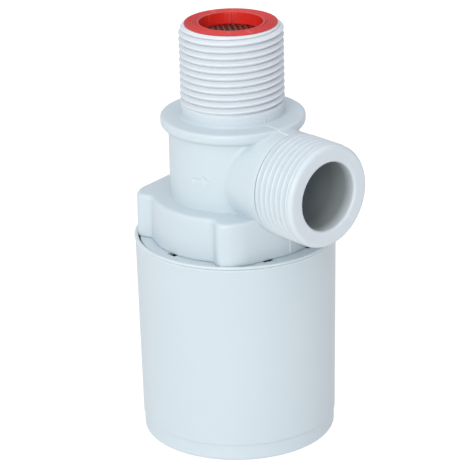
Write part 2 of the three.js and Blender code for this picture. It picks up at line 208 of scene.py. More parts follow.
def block(name, xs, ys, zs, edge=0.0):
    return plate(name, [(xs[0], zs[0]), (xs[1], zs[0]), (xs[1], zs[1]), (xs[0], zs[1])], *ys, edge)


def arc(x, y, radius, start, end, steps):
    angles = np.radians(np.linspace(start, end, steps + 1))
    return [(x + radius * math.cos(a), y + radius * math.sin(a)) for a in angles]


def moved(piece, matrix):
    piece.data.transform(matrix)
    return piece


def shift(x, y, z):
    return Matrix.Translation(Vector((x, y, z)) * MM)


def spin(degrees, axis="Z"):
    return Matrix.Rotation(math.radians(degrees), 4, axis)


def apply_modifiers(piece):
    bpy.context.view_layer.update()
    shaped = piece.evaluated_get(bpy.context.evaluated_depsgraph_get())
    mesh = bpy.data.meshes.new_from_object(shaped)
    piece.modifiers.clear()
    piece.data = mesh
    return piece


def combine(piece, other, operation):
    """Joins other to piece, cuts it away or keeps what they share, and removes other."""
    step = piece.modifiers.new("combine", "BOOLEAN")
    step.operation = operation
    step.solver = "MANIFOLD"
    step.object = other
    apply_modifiers(piece)
    bpy.data.objects.remove(other)
    return piece


def join(piece, *others):
    for other in others:
        combine(piece, other, "UNION")
    return piece


def cut(piece, *others):
    for other in others:
        combine(piece, other, "DIFFERENCE")
    return piece


def smoothed(piece, sharp=35):
    """Smooth shading that keeps edges sharper than the angle, and flat faces flat."""
    piece.data.shade_smooth()
    piece.data.set_sharp_from_angle(angle=math.radians(sharp))
    even = piece.modifiers.new("even", "WEIGHTED_NORMAL")
    even.keep_sharp = True
    return apply_modifiers(piece)


# ---------- surfaces from distance functions ----------

def round_union(a, b, radius):
    """Two distances joined, with a fillet of that radius where they meet."""
    corner = np.hypot(np.maximum(radius - a, 0), np.maximum(radius - b, 0))
    return np.maximum(radius, np.minimum(a, b)) - corner


def round_common(a, b, radius):
    """What two distances share, with the outer edge rounded."""
    return -round_union(-a, -b, radius)


def surface_mesh(name, distance, low, high, cell):
    """A closed quad mesh of a distance function's zero level, its points evened out and moved onto it."""
    probe, smallest_slope, evening = 0.01, 0.2, 0.6
    axes = [np.arange(a, b + cell, cell) for a, b in zip(low, high)]
    grid = np.stack(np.meshgrid(*axes, indexing="ij"), -1)
    inside = distance(grid.reshape(-1, 3)).reshape(grid.shape[:3]) < 0
    cells = np.array(inside.shape) - 1
    near = sum(
        inside[i:i + cells[0], j:j + cells[1], k:k + cells[2]].astype(int)
        for i in (0, 1) for j in (0, 1) for k in (0, 1)
    )
    crossed = (near > 0) & (near < 8)
    number = np.full(cells, -1)
    number[crossed] = np.arange(crossed.sum())
    points = np.array(low) + (np.argwhere(crossed) + 0.5) * cell
    quads = []
    for axis in range(3):
        here = np.moveaxis(inside, axis, 0)
        edge = np.moveaxis(np.argwhere(here[:-1] != here[1:]), 1, 0)
        place = [None] * 3
        place[axis] = edge[0]
        others = [a for a in range(3) if a != axis]
        place[others[0]], place[others[1]] = edge[1], edge[2]
        place = np.stack(place, 1)
        u, v = (axis + 1) % 3, (axis + 2) % 3
        corners = []
        for du, dv in ((0, 0), (-1, 0), (-1, -1), (0, -1)):
            at = place.copy()
            at[:, u] += du
            at[:, v] += dv
            corners.append(number[tuple(at.T)])
        quad = np.stack(corners, 1)
        outward = inside[tuple(place.T)]
        quads.append(np.where(outward[:, None], quad, quad[:, ::-1]))
    quads = np.concatenate(quads)
    ends = np.concatenate([quads[:, [i, (i + 1) % 4]] for i in range(4)])
    degree = np.bincount(ends[:, 0], minlength=len(points))[:, None]

    def settle(points):
        for _ in range(3):
            slope = np.stack([
                (distance(points + step) - distance(points - step)) / (2 * probe)
                for step in np.eye(3) * probe
            ], 1)
            size = np.maximum((slope ** 2).sum(1), smallest_slope)
            points = points - slope * (distance(points) / size)[:, None]
        return points

    points = settle(points)
    for _ in range(3):
        middle = np.stack([
            np.bincount(ends[:, 0], points[ends[:, 1], i], minlength=len(points)) for i in range(3)
        ], 1) / degree
        points = settle((1 - evening) * points + evening * middle)
    return new_piece(name, points, quads.tolist())


def body_distance(points):
    """Distance to the outside of the valve body, below its threads."""
    x, y, z = points.T
    radius = np.hypot(x, y)

    def disc(across, bottom, top, edge):
        return round_common(across, np.maximum(bottom - z, z - top), edge)

    quarter_x, quarter_y = np.abs(x), np.abs(y)
    ramp = quarter_x * math.cos(RAMP_ANGLE) + quarter_y * math.sin(RAMP_ANGLE) - SKIRT_RADIUS
    steep = (quarter_x - LUG_END[0]) * LUG_END_FACING[0] + (quarter_y - LUG_END[1]) * LUG_END_FACING[1]
    inward = SKIRT_RADIUS * math.sin(RAMP_ANGLE) - quarter_y
    tip = round_common(radius - LUG_RADIUS, np.maximum(ramp, inward), 1.5)
    lug = round_common(tip, steep, 1.1)
    root_fillet = 0.01 + 0.69 * np.clip((quarter_y - 7) / 6, 0, 1)
    outline = round_union(radius - SKIRT_RADIUS, lug, root_fillet)
    skirt = np.maximum(
        disc(outline, SKIRT_BOTTOM - 2, SKIRT_TOP, 1.0),
        disc(outline, SKIRT_BOTTOM, SKIRT_TOP + 2, 0.25),
    )
    tube = np.maximum(radius - TUBE_RADIUS, np.maximum(SKIRT_BOTTOM + 4 - z, z - FLANGE_BOTTOM - 1))
    flange = np.maximum(
        disc(radius - FLANGE_RADIUS, FLANGE_BOTTOM - 2, FLANGE_TOP, 0.7),
        disc(radius - FLANGE_RADIUS, FLANGE_BOTTOM, FLANGE_TOP + 2, 1.3),
    )
    neck = np.maximum(radius - NECK_RADIUS, np.maximum(FLANGE_BOTTOM - z, z - FLANGE_TOP - 1.6))
    branch_ends = np.maximum(-x, x - OUTLET_THREAD + 0.2)
    branch = np.maximum(np.hypot(y, z - OUTLET_AXIS) - NECK_RADIUS, branch_ends)
    shape = round_union(tube, branch, 0.8)
    shape = round_union(shape, skirt, 0.2)
    shape = round_union(shape, flange, 0.5)
    return round_union(shape, neck, 0.6)


# ---------- threads ----------

def threaded_rod(name, bottom, start, end, fade_in, form=PIPE_THREAD, segments=120, rows=12):
    """A plain rod that becomes a right-hand thread at start and is chamfered towards end."""
    crest, root, pitch, plain = form
    pointed, crest_width, lead, tip_depth, chamfer_slope = 0.94, 1.25, 0.3, 0.15, 1.05
    turns = (end - bottom) / pitch
    count = int(math.ceil(turns + 2) * rows) + 1
    row, step = np.meshgrid(np.arange(count), np.arange(segments), indexing="ij")
    height = bottom + pitch * (row / rows + step / segments - 1)
    wave = np.sin(2 * np.pi * row / rows)
    groove = 0.5 - np.arcsin(pointed * wave) / (2 * math.asin(pointed))
    fade = np.clip((height - start + lead) / (fade_in * pitch), 0, 1)
    fade = fade * fade * (3 - 2 * fade)
    radius = plain + (crest - (crest - root) * groove ** crest_width - plain) * fade
    radius = np.minimum(radius, root - tip_depth + (end - height).clip(0) * chamfer_slope)
    angle = 2 * np.pi * step / segments
    points = np.stack([radius * np.cos(angle), radius * np.sin(angle), height], -1).reshape(-1, 3)

    def at(step, row):
        return (row + rows) * segments if step == segments else row * segments + step

    faces = []
    for step in range(segments):
        last = count - 1 - (rows if step == segments - 1 else 0)
        faces += [(at(step, r), at(step + 1, r), at(step + 1, r + 1), at(step, r + 1)) for r in range(last)]
    foot = [at(s, 0) for s in range(segments)] + [at(0, r) for r in range(rows, 0, -1)]
    head = [at(s, count - 1) for s in range(segments)]
    head += [at(segments - 1, count - 1 - r) for r in range(1, rows + 1)]
    centre = len(points)
    points = np.vstack([points, [0, 0, height.min()], [0, 0, height.max()]])
    faces += [(b, a, centre) for a, b in zip(foot, foot[1:] + foot[:1])]
    faces += [(a, b, centre + 1) for a, b in zip(head, head[1:] + head[:1])]
    return new_piece(name, points, faces)


# ---------- materials ----------

class Nodes:
    """A short way to write the node tree of a material or of the world."""

    def __init__(self, owner, space="Object"):
        owner.use_nodes = True
        self.owner = owner
        self.tree = owner.node_tree
        self.shader = self.tree.nodes.get("Principled BSDF") or self.tree.nodes["Background"]
        self.place = self.add("ShaderNodeTexCoord").outputs[space]

    def add(self, kind, **settings):
        node = self.tree.nodes.new(kind)
        for key, value in settings.items():
            setattr(node, key, value)
        return node

    def feed(self, value, socket):
        if isinstance(value, bpy.types.NodeSocket):
            self.tree.links.new(value, socket)
        else:
            socket.default_value = value

    def set(self, **inputs):
        for key, value in inputs.items():
            self.feed(value, self.shader.inputs[key.replace("_", " ")])

    def stretched(self, scale):
        mapping = self.add("ShaderNodeMapping")
        self.feed(self.place, mapping.inputs["Vector"])
        self.feed(scale, mapping.inputs["Scale"])
        return mapping.outputs["Vector"]

    def noise(self, scale, detail=3.0, roughness=0.55, place=None):
        node = self.add("ShaderNodeTexNoise")
        self.feed(self.place if place is None else place, node.inputs["Vector"])
        self.feed(scale, node.inputs["Scale"])
        self.feed(detail, node.inputs["Detail"])
        self.feed(roughness, node.inputs["Roughness"])
        return node.outputs["Fac"]

    def scaled(self, value, low, high, out_low, out_high):
        node = self.add("ShaderNodeMapRange")
        node.clamp = True
        for socket, number in zip(node.inputs, (value, low, high, out_low, out_high)):
            self.feed(number, socket)
        return node.outputs["Result"]

    def mix(self, factor, a, b):
        node = self.add("ShaderNodeMix", data_type="RGBA")
        self.feed(factor, node.inputs["Factor"])
        self.feed(a, node.inputs[6])
        self.feed(b, node.inputs[7])
        return node.outputs[2]

    def maths(self, operation, a, b=0.0):
        node = self.add("ShaderNodeMath", operation=operation)
        self.feed(a, node.inputs[0])
        self.feed(b, node.inputs[1])
        return node.outputs[0]

    def bump(self, height, distance, strength=1.0, before=None):
        node = self.add("ShaderNodeBump")
        self.feed(strength, node.inputs["Strength"])
        self.feed(distance, node.inputs["Distance"])
        self.feed(height, node.inputs["Height"])
        if before is not None:
            self.feed(before, node.inputs["Normal"])
        return node.outputs["Normal"]

    def axes(self, vector=None):
        """The x, y and z of a vector, by default of the place on the object."""
        split = self.add("ShaderNodeSeparateXYZ")
        self.feed(self.place if vector is None else vector, split.inputs[0])
        return split.outputs

    def length(self, a, b):
        squares = self.maths("ADD", self.maths("POWER", a, 2.0), self.maths("POWER", b, 2.0))
        return self.maths("SQRT", squares)

    def both(self, a, b):
        """The product of two amounts, so 1 only where both are 1."""
        return self.maths("MULTIPLY", a, b)

    def bore_shade_mask(self):
        """1 in the outlet's bore, where its colour is darkened as painted shade, fading to 0 at its mouth
        and towards the tube's middle.
        """
        x, y, z = self.axes()
        off_axis = self.length(y, self.maths("SUBTRACT", z, OUTLET_AXIS * MM))
        inside = self.maths("LESS_THAN", off_axis, (OUTLET_BORE + 0.3) * MM)
        mouth = self.scaled(x, (OUTLET_END - 3.6) * MM, (OUTLET_END - 0.3) * MM, 1.0, 0.0)
        deep = self.scaled(x, 15 * MM, 26 * MM, 0.0, 1.0)
        return self.both(inside, self.both(mouth, deep))

    def on_ends(self):
        """1 on the inlet's thread, a part of that on the outlet's thread, 0 on the rest of the body."""
        x, _, z = self.axes()
        inlet = self.scaled(z, (FLANGE_TOP + 1) * MM, (INLET_THREAD + 1.5) * MM, 0.0, 1.0)
        outlet = self.scaled(x, (OUTLET_THREAD - 3) * MM, (OUTLET_THREAD + 2) * MM, 0.0, 0.4)
        return self.maths("MAXIMUM", inlet, outlet)

    def parting_line_highlight(self):
        """1 on the outlet's side of the thin line where the mould's halves met, coloured paler as a painted
        highlight.
        """
        x, y, z = self.axes()
        offset = self.maths("ABSOLUTE", self.maths("SUBTRACT", y, PARTING_Y * MM))
        near = self.maths("LESS_THAN", offset, (LINE_HALF_WIDTH + 0.06) * MM)
        outside = self.both(
            self.maths("GREATER_THAN", x, (NECK_RADIUS + 0.4) * MM),
            self.maths("LESS_THAN", x, (SKIRT_RADIUS + 0.6) * MM),
        )
        on_thread = self.both(
            self.maths("GREATER_THAN", x, OUTLET_THREAD * MM),
            self.maths("GREATER_THAN", z, SKIRT_TOP * MM),
        )
        return self.both(self.both(near, outside), self.maths("SUBTRACT", 1.0, on_thread))

    def rim_highlight_mask(self):
        """1 on the float's raised rim, coloured paler as a painted highlight."""
        x, y, z = self.axes()
        high = self.maths("GREATER_THAN", z, (SHELL_HIGH[2] - 1.0) * MM)
        return self.both(high, self.maths("GREATER_THAN", self.length(x, y), (SHELL_HIGH[0] - 0.95) * MM))

    def geometry(self, output):
        return self.add("ShaderNodeNewGeometry").outputs[output]

    def edges(self):
        """Near 1 on convex edges, near 0 elsewhere."""
        return self.scaled(self.geometry("Pointiness"), 0.52, 0.6, 0.0, 1.0)

    def grooves(self):
        """Near 1 at the bottom of grooves, near 0 elsewhere."""
        return self.scaled(self.geometry("Pointiness"), 0.4, 0.475, 1.0, 0.0)


def new_material(name):
    return Nodes(bpy.data.materials.new(name))


def times(factor, colour):
    """A colour made darker or lighter, with full alpha."""
    return tuple(min(1, factor * c) for c in colour[:3]) + (1,)


def moulded_plastic(
    name, colour, shade, roughness, glow=0.0, bore=None, ends=None, flash_highlight=None, rim=None
):
    """Injection-moulded plastic: faint flow clouding, fine grain, scuffs, and paler edges from wear.

    The body also has painted shade in the outlet's bore and at its thread roots, a paler colour on the
    threaded ends and a painted highlight on the mould's parting line; the float has one on its rim.
    """
    n = new_material(name)
    clouding = n.noise(55, 4)
    flow = n.noise(22, 2, place=n.stretched((1, 1, 0.25)))
    base = n.mix(n.scaled(n.maths("ADD", clouding, flow), 0.75, 1.3, 0.0, 1.0), colour, shade)
    rubbed = n.both(n.edges(), n.scaled(n.noise(400), 0.3, 0.6, 0.2, 0.8))
    base = n.mix(rubbed, base, times(1.06, colour))
    if ends:
        base = n.mix(n.on_ends(), base, ends)
        # Painted shade: the roots of the thread grooves are darkened.
        thread_root_shade = n.both(n.grooves(), n.maths("POWER", n.on_ends(), 0.3))
        base = n.mix(thread_root_shade, base, times(0.7, shade))
        # Painted highlight: the mould's parting line is coloured paler.
        base = n.mix(n.parting_line_highlight(), base, flash_highlight)
        # Painted shade: the outlet's bore is coloured dark grey.
        base = n.mix(n.bore_shade_mask(), base, bore)
    if rim:
        # Painted highlight: the float's rim is coloured paler.
        base = n.mix(n.rim_highlight_mask(), base, rim)
    grain = n.noise(5200, 2)
    scuffs = n.noise(900, 3, place=n.stretched((1, 1, 9)))
    rough = n.scaled(scuffs, 0.35, 0.75, roughness - 0.05, roughness + 0.1)
    normal = n.bump(grain, 0.00002, 0.5)
    normal = n.bump(scuffs, 0.00002, 0.35, normal)
    n.set(Base_Color=base, Roughness=rough, Normal=normal, IOR=1.49)
    n.set(Subsurface_Weight=glow, Subsurface_Scale=0.002, Subsurface_Radius=(1.0, 1.1, 1.2))
    return n.owner


def rubber(name, colour, roughness):
    """Moulded rubber: dull, with a faint bloom and a fine grain."""
    n = new_material(name)
    bloom = n.scaled(n.noise(300, 5), 0.45, 0.75, 0.0, 0.3)
    pale = tuple(0.75 * c + 0.2 for c in colour[:3]) + (1,)
    rough = n.scaled(n.noise(700), 0.3, 0.7, roughness, roughness + 0.15)
    n.set(Base_Color=n.mix(bloom, colour, pale), Roughness=rough)
    n.set(Normal=n.bump(n.noise(4000, 2), 0.00003, 0.5), IOR=1.5)
    return n.owner


def elastomer_duller_on_top(name, colour, top_colour, edge_highlight, roughness):
    """Moulded elastomer, deep in colour on its walls, with a duller, paler colour on the faces that look up.
    """
    n = new_material(name)
    upward = n.scaled(n.axes(n.geometry("True Normal"))["Z"], 0.35, 0.9, 0.0, 1.0)
    patches = n.scaled(n.noise(700, 4), 0.35, 0.65, 0.65, 1.0)
    base = n.mix(n.both(upward, patches), colour, top_colour)
    # Painted highlight: convex edges are coloured paler.
    base = n.mix(n.both(n.edges(), 0.3), base, edge_highlight)
    rough = n.scaled(n.noise(900), 0.3, 0.7, roughness, roughness + 0.15)
    n.set(Base_Color=base, Roughness=rough, Normal=n.bump(n.noise(5000, 2), 0.00002, 0.5), IOR=1.5)
    return n.owner


def machined_metal(name, colour, roughness, grain=(1, 1, 60)):
    """Turned or drawn metal: fine lines across it, and uneven tarnish."""
    n = new_material(name)
    lines = n.noise(900, 2, place=n.stretched(grain))
    tarnish = n.scaled(n.noise(260, 4), 0.4, 0.7, 0.0, 0.5)
    n.set(Base_Color=n.mix(tarnish, colour, times(0.72, colour)), Metallic=1.0)
    n.set(Roughness=n.scaled(lines, 0.3, 0.7, roughness - 0.06, roughness + 0.12))
    n.set(Normal=n.bump(lines, 0.00001, 0.5))
    return n.owner


WHITE = moulded_plastic(
    "white_plastic", (0.575, 0.66, 0.705, 1), (0.555, 0.64, 0.69, 1), 0.4, 0.15,
    # rim: a paler colour painted on the float's rim as a highlight.
    rim=(0.61, 0.69, 0.73, 1),
)
BODY_WHITE = moulded_plastic(
    "body_white", (0.578, 0.662, 0.708, 1), (0.558, 0.642, 0.693, 1), 0.4, 0.15,
    # bore is painted shade in the outlet's bore; the parting line's paler colour is a painted highlight.
    bore=(0.245, 0.277, 0.282, 1), ends=(0.68, 0.725, 0.765, 1), flash_highlight=(0.73, 0.79, 0.82, 1),
)
GREY = moulded_plastic("grey_plastic", (0.46, 0.49, 0.52, 1), (0.42, 0.45, 0.48, 1), 0.42)
RED = elastomer_duller_on_top(
    "red_elastomer", (0.72, 0.012, 0.004, 1), (0.46, 0.07, 0.075, 1), (0.8, 0.2, 0.18, 1), 0.5
)
BLACK = rubber("black_rubber", (0.02, 0.02, 0.022, 1), 0.5)
STEEL = machined_metal("stainless_steel", (0.62, 0.62, 0.62, 1), 0.28)
# The wire's red-brown colour is a painted reflection of the red washer around it.
WIRE_PAINTED_REFLECTION = machined_metal("mesh_wire_painted_reflection", (0.3, 0.13, 0.11, 1), 0.35, (1, 1, 1))
BRASS = machined_metal("brass", (0.78, 0.57, 0.22, 1), 0.26)

FINISHES = {
    "white_plastic": WHITE,
    "red_washer": RED,
    "steel_mesh": WIRE_PAINTED_REFLECTION,
    "grey_plastic": GREY,
    "black_rubber": BLACK,
    "steel": STEEL,
    "brass": BRASS,
}
SLOT_OF = {part["node"]: part["material_slot"] for part in frame["record"]["subparts"]}
BODY_OF = {
    node: body
    for body, nodes in frame["record"]["behaviour"]["bodies"].items()
    for node in nodes
}


def stands_for(piece, node):
    """Finishes a piece that shows a CAD node: same body, same material slot."""
    piece.data.materials.clear()
    piece.data.materials.append(BODY_WHITE if node == "valve_body" else FINISHES[SLOT_OF[node]])
    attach(piece, BODY_OF[node])
    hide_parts(node)


# ---------- valve body ----------

def parting_line():
    """The fine raised line that the mould's two halves leave, parallel to the XZ plane."""
    proud, half = 0.13, LINE_HALF_WIDTH
    skirt = SKIRT_RADIUS + proud
    tube = TUBE_RADIUS + proud
    flange = FLANGE_RADIUS + proud
    branch = NECK_RADIUS + proud
    boxes = [
        ((-skirt, -15), (SKIRT_BOTTOM + 0.9, SKIRT_TOP - 0.9)),
        ((15, skirt), (SKIRT_BOTTOM + 0.9, SKIRT_TOP - 0.9)),
        ((-tube, -14), (SKIRT_TOP - 1, FLANGE_BOTTOM + 1)),
        ((-flange, -16), (FLANGE_BOTTOM + 0.9, FLANGE_TOP - 0.9)),
        ((-branch, branch), (FLANGE_TOP - 1, INLET_THREAD - 0.6)),
        ((NECK_RADIUS, FLANGE_RADIUS - 0.8), (FLANGE_TOP - 1, FLANGE_TOP + 0.08)),
        ((17.6, OUTLET_THREAD - 0.3), (OUTLET_AXIS - branch, OUTLET_AXIS + branch)),
    ]
    return [block("line", xs, (PARTING_Y - half, PARTING_Y + half), zs) for xs, zs in boxes]


def flow_arrow():
    """A plain raised arrow on the tube, pointing to the outlet."""
    relief, turn_to_front = 0.2, 18
    outline = [(-2.7, -0.6), (0.3, -0.6), (0.3, -1.7), (2.7, 0), (0.3, 1.7), (0.3, 0.6), (-2.7, 0.6)]
    arrow = plate("arrow", outline, -TUBE_RADIUS - 2, -TUBE_RADIUS + 1.5)
    inner, outer = TUBE_RADIUS - 0.8, TUBE_RADIUS + relief
    skin = turned("skin", [(inner, -3), (outer, -3), (outer, 3), (inner, 3)], 256)
    combine(arrow, skin, "INTERSECT")
    return moved(arrow, shift(0, 0, OUTLET_AXIS + 0.3) @ spin(turn_to_front))


def water_space():
    """What the body leaves open: cover socket, chamber round the seat tube, inlet bore, and all above it."""
    seat_outside, seat_inside = 9.8, 8
    return turned("space", [
        (0, SKIRT_BOTTOM - 1),
        (SOCKET_RADIUS + 1, SKIRT_BOTTOM - 1),
        (SOCKET_RADIUS + 0.8, SKIRT_BOTTOM),
        (SOCKET_RADIUS, SKIRT_BOTTOM + 0.8),
        (SOCKET_RADIUS, SOCKET_TOP, 0.3),
        (CHAMBER_RADIUS, SOCKET_TOP, 0.4),
        (CHAMBER_RADIUS, FLANGE_BOTTOM - 0.8, 1.2),
        (seat_outside, FLANGE_BOTTOM - 0.8, 1.2),
        (seat_outside, SEAT_LIP, 0.5),
        (seat_inside, SEAT_LIP, 0.5),
        (seat_inside, FLANGE_TOP, 0.6),
        (BORE_RADIUS, FLANGE_TOP + 1.5, 0.6),
        (BORE_RADIUS, INLET_END, 0.35),
        (16, INLET_END),
        (16, INLET_END + 9),
        (0, INLET_END + 9),
    ], 128)


def outlet_space():
    """The outlet's bore, from the chamber round the seat tube to past its mouth."""
    start = 10.2
    space = turned("outlet_space", [
        (0, start),
        (OUTLET_BORE, start),
        (OUTLET_BORE, OUTLET_END, 0.7),
        (16, OUTLET_END),
        (16, OUTLET_END + 4),
        (0, OUTLET_END + 4),
    ], 128)
    return to_outlet(space)


def to_outlet(piece):
    return moved(piece, shift(0, 0, OUTLET_AXIS) @ spin(90, "Y"))


def outlet_thread():
    """The outlet's thread, with a smooth rounded collar at its mouth."""
    thread = threaded_rod("outlet_thread", OUTLET_THREAD - 3, OUTLET_THREAD, OUTLET_END + 3, 0.25)
    rim = 13.1
    collar = turned("collar", [
        (0, OUTLET_COLLAR - 0.5),
        (THREAD_ROOT + 0.2, OUTLET_COLLAR - 0.5),
        (rim, OUTLET_COLLAR, 0.2),
        (rim, OUTLET_END, 1.15),
        (0, OUTLET_END),
    ], 120)
    undercut = turned("undercut", [
        (NECK_RADIUS - 0.8, OUTLET_THREAD - 0.2, 0.1),
        (NECK_RADIUS + 2, OUTLET_THREAD - 0.2),
        (NECK_RADIUS + 2, OUTLET_THREAD + 0.25),
        (NECK_RADIUS - 0.8, OUTLET_THREAD + 0.25, 0.1),
    ], 120)
    cut(thread, undercut, rod("trim", 20, OUTLET_COLLAR - 0.1, OUTLET_END + 9, 16))
    return to_outlet(join(thread, collar))


def valve_body():
    cell = 0.36
    low = (-SKIRT_RADIUS - 1, -LUG_RADIUS - 1, SKIRT_BOTTOM - 1)
    high = (OUTLET_THREAD + 2, LUG_RADIUS + 1, FLANGE_TOP + 3)
    body = surface_mesh("body_moulding", body_distance, low, high, cell)
    inlet = threaded_rod("inlet_thread", FLANGE_TOP + 0.3, INLET_THREAD, INLET_END, 0.35)
    join(body, inlet, outlet_thread(), flow_arrow(), *parting_line())
    cut(body, water_space(), outlet_space())
    stands_for(smoothed(body, 40), "valve_body")


# ---------- inlet strainer ----------

def strainer_washer():
    """Red sealing ring with fine concentric ridges, and a small moulded tab inside."""
    top, outer = WASHER_HIGH[2] + WASHER_RISE, WASHER_HIGH[0]
    inner = CLOTH_HIGH[0] - 0.25
    flange_bottom = INLET_END + 0.1
    ridge_spacing, ridge_height, tab_turn, sleeve = 0.62, 0.4, 48.2, 7.5
    groove_top, groove_bottom = CLOTH_HIGH[2] - 0.2, CLOTH_LOW[2] - 0.4
    ridges = []
    for radius in np.arange(outer - 0.75, inner + 0.9, -ridge_spacing):
        ridges += [(radius + ridge_spacing / 2, top - ridge_height), (radius, top, 0.1)]
    ridges.append((ridges[-1][0] - ridge_spacing / 2, top - ridge_height))
    washer = turned("red_washer", [
        (sleeve, WASHER_LOW[2], 0.15),
        (BORE_RADIUS - 0.12, WASHER_LOW[2], 0.3),
        (BORE_RADIUS - 0.12, flange_bottom),
        (outer - 0.45, flange_bottom, 0.05),
        (outer, top - 0.3, 0.08),
        (outer, top - 0.02, 0.15),
        *ridges,
        (ridges[-1][0] - 0.15, top - 0.05, 0.05),
        (inner, top - 0.05, 0.2),
        (inner, groove_top, 0.1),
        (inner + 0.4, groove_top),
        (inner + 0.4, groove_bottom),
        (sleeve, groove_bottom, 0.1),
    ], 160, 3)
    tab = []
    for turn in (-9, -4.5, 0, 4.5, 9):
        foot = groove_top + 0.1 + abs(turn) / 12
        rib = block("rib", (-0.17, 0.17), (-0.16, 0.6), (foot, top - 0.3), 0.08)
        tab.append(moved(rib, spin(tab_turn + turn) @ shift(0, inner, 0)))
    stands_for(smoothed(join(washer, *tab)), "strainer_washer")


def strainer_cloth():
    """Plain-woven wire cloth: every wire passes over one crossing wire and under the next."""
    pitch, wire, bow, weave_turn = 1.0, 0.15, 0.13, 11
    reach = CLOTH_HIGH[0] - 0.1
    middle = (CLOTH_LOW[2] + CLOTH_HIGH[2]) / 2 - CLOTH_DROP
    count = int(reach / pitch)
    sides = 5
    points, faces = [], []
    for crossing in (0, 1):
        for number in range(-count, count + 1):
            place = number * pitch
            half = math.sqrt(reach ** 2 - place ** 2)
            steps = max(int(2 * half / pitch * 4), 2)
            along = np.linspace(-half, half, steps + 1)
            side = 1 if (number + crossing) % 2 else -1
            lift = side * bow * np.cos(np.pi * along / pitch)
            first = len(points)
            for s, up in zip(along, lift):
                for k in range(sides):
                    turn = 2 * math.pi * k / sides
                    p = (place + wire * math.cos(turn), s, middle + up + wire * math.sin(turn))
                    points.append((p[1], p[0], p[2]) if crossing else p)
            for i in range(steps):
                for k in range(sides):
                    a, b = first + i * sides + k, first + i * sides + (k + 1) % sides
                    quad = (a, b, b + sides, a + sides)
                    faces.append(quad if crossing else quad[::-1])
            for start in (first, first + steps * sides):
                ring = tuple(range(start, start + sides))
                faces.append(ring if (start == first) != bool(crossing) else ring[::-1])
    cloth = moved(new_piece("wire_cloth", points, faces), spin(weave_turn))
    stands_for(smoothed(cloth, 60), "strainer_mesh")


# ---------- float ----------

def float_shell():
    """Slightly tapered cylinder with a thin lip under its rim, and a ledge that holds the lid."""
    rim, foot = SHELL_HIGH[0], SHELL_HIGH[0] - 0.84
    top, bottom, wall = SHELL_HIGH[2] + RIM_RISE, SHELL_LOW[2], 1.0
    ledge = LID_HIGH[2] - 2.1
    shell = turned("shell_moulding", [
        (foot - wall, bottom, 0.2),
        (foot, bottom, 0.2),
        (rim - 0.23, top - 0.85, 0.06),
        (rim - 0.5, top - 0.74),
        (rim - 0.5, top - 0.6),
        (rim, top - 0.54, 0.06),
        (rim, top, 0.36),
        (rim - wall, top, 0.3),
        (rim - wall, ledge),
        (24, ledge, 0.2),
        (24, ledge - 1, 0.2),
        (24.7, ledge - 2),
    ], 256, 8)
    stands_for(smoothed(shell), "float_shell")


def float_base():
    """Cap under the shell, with a raised ring that enters it, a shallow groove and a gate mark below."""
    cap, top, thickness = BASE_HIGH[0], SHELL_LOW[2] - 0.04, 2.2
    base = turned("base_moulding", [
        (0, 0.12),
        (3, 0.12, 0.1),
        (3.2, 0),
        (20, 0),
        (20.15, 0.3, 0.1),
        (20.85, 0.3, 0.1),
        (21, 0),
        (cap, 0, 0.9),
        (cap, top, 0.12),
        (23.9, top),
        (23.9, BASE_HIGH[2], 0.5),
        (22.6, BASE_HIGH[2]),
        (22.6, thickness, 0.4),
        (0, thickness),
    ], 256, 8)
    stands_for(smoothed(base), "float_base")


def float_lid():
    """Top plate and well, with drain notches round the mouth and the screw boss under the floor."""
    top, plate_radius, bottom = LID_HIGH[2], LID_HIGH[0], box_mm("float_yoke")[0][2] - 1.7
    well, thickness = 20.4, 1.6
    well_floor = bottom + thickness
    lid = turned("lid_moulding", [
        (0, bottom),
        (well + 1.5, bottom, 1),
        (well + 1.5, top - 2, 0.2),
        (plate_radius, top - 2, 0.1),
        (plate_radius, top, 0.35),
        (well, top, 0.3),
        (well, well_floor, 0.6),
        (0, well_floor),
    ], 192, 6)
    for half_turn in (0, 180):
        for turn in (17, 91, 159.5):
            notch = block("notch", (well - 1, well + 2), (-1.4, 1.4), (top - 1.5, top + 1), 0.2)
            cut(lid, moved(notch, spin(half_turn + turn)))
    boss = rod("boss", 3.2, LID_LOW[2], well_floor - 0.5, 48, 0.3)
    hole = rod("hole", 1.35, box_mm("yoke_screw")[0][2] - 1, well_floor + 1, 32)
    join(lid, moved(boss, shift(SCREW_X, 0, 0)))
    cut(lid, moved(hole, shift(SCREW_X, 0, 0)))
    stands_for(smoothed(lid), "float_lid")


# ---------- main piston ----------

